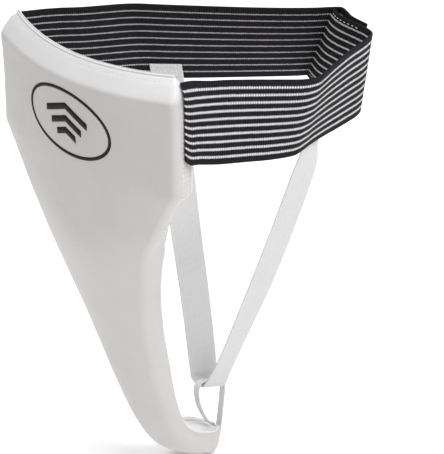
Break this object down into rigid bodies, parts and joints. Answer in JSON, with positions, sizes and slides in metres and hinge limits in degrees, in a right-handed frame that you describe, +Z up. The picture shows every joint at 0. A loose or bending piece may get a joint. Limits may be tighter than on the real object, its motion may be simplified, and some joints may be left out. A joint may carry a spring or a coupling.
{
  "type": "groin protector",
  "caption": "Padded groin shield with a striped elastic waistband that closes at the back and elastic leg straps that meet in a tape loop at its tip.",
  "frame": {"origin": "middle of the straight line between the shield's two upper back corners, where the waistband's front would lie on the wearer", "axes": "+Z up along the wearer's body, -Y the way the wearer and the shield's face look, +X the wearer's left"},
  "size_m": [0.2535, 0.2312, 0.3726],
  "materials": {
    "vinyl": "satin light grey vinyl with a fine grain",
    "foam": "closed-cell foam, matte",
    "plate": "moulded polyethylene, natural white",
    "lining": "soft woven lining, matte",
    "tape": "woven binding tape, matte",
    "elastic": "knitted elastic, black with white stripes",
    "strap_elastic": "ribbed white elastic, matte",
    "fastener": "hook-and-loop fastener, black"
  },
  "bodies": {
    "shield": {"front_cover": "vinyl", "foam_core": "foam", "cup_shell": "plate", "comfort_pad": "foam", "back_lining": "lining", "top_binding": "tape", "edge_binding_right": "tape", "edge_binding_left": "tape", "waistband_end_right": "elastic", "waistband_end_left": "elastic", "leg_strap_right": "strap_elastic", "leg_strap_left": "strap_elastic", "crotch_loop": "tape"},
    "wing_left": {"waistband_left": "elastic", "loop_patch": "fastener"},
    "wing_right": {"waistband_right": "elastic", "hook_patch": "fastener"}
  },
  "joints": [
    {"name": "wing_left_swing", "type": "hinge", "parent": "shield", "child": "wing_left", "pos_m": [-0.1052, 0.0076, -0.035], "axis": [0, 0, 1], "range_deg": [0, 45], "deforming": ["leg_strap_left"]},
    {"name": "wing_right_swing", "type": "hinge", "parent": "shield", "child": "wing_right", "pos_m": [0.1052, 0.0076, -0.035], "axis": [0, 0, 1], "range_deg": [-22.5, 0], "deforming": ["leg_strap_right"]}
  ],
  "couplings": [
    {"joint": "wing_right_swing", "follows": "wing_left_swing", "ratio": -0.5}
  ]
}
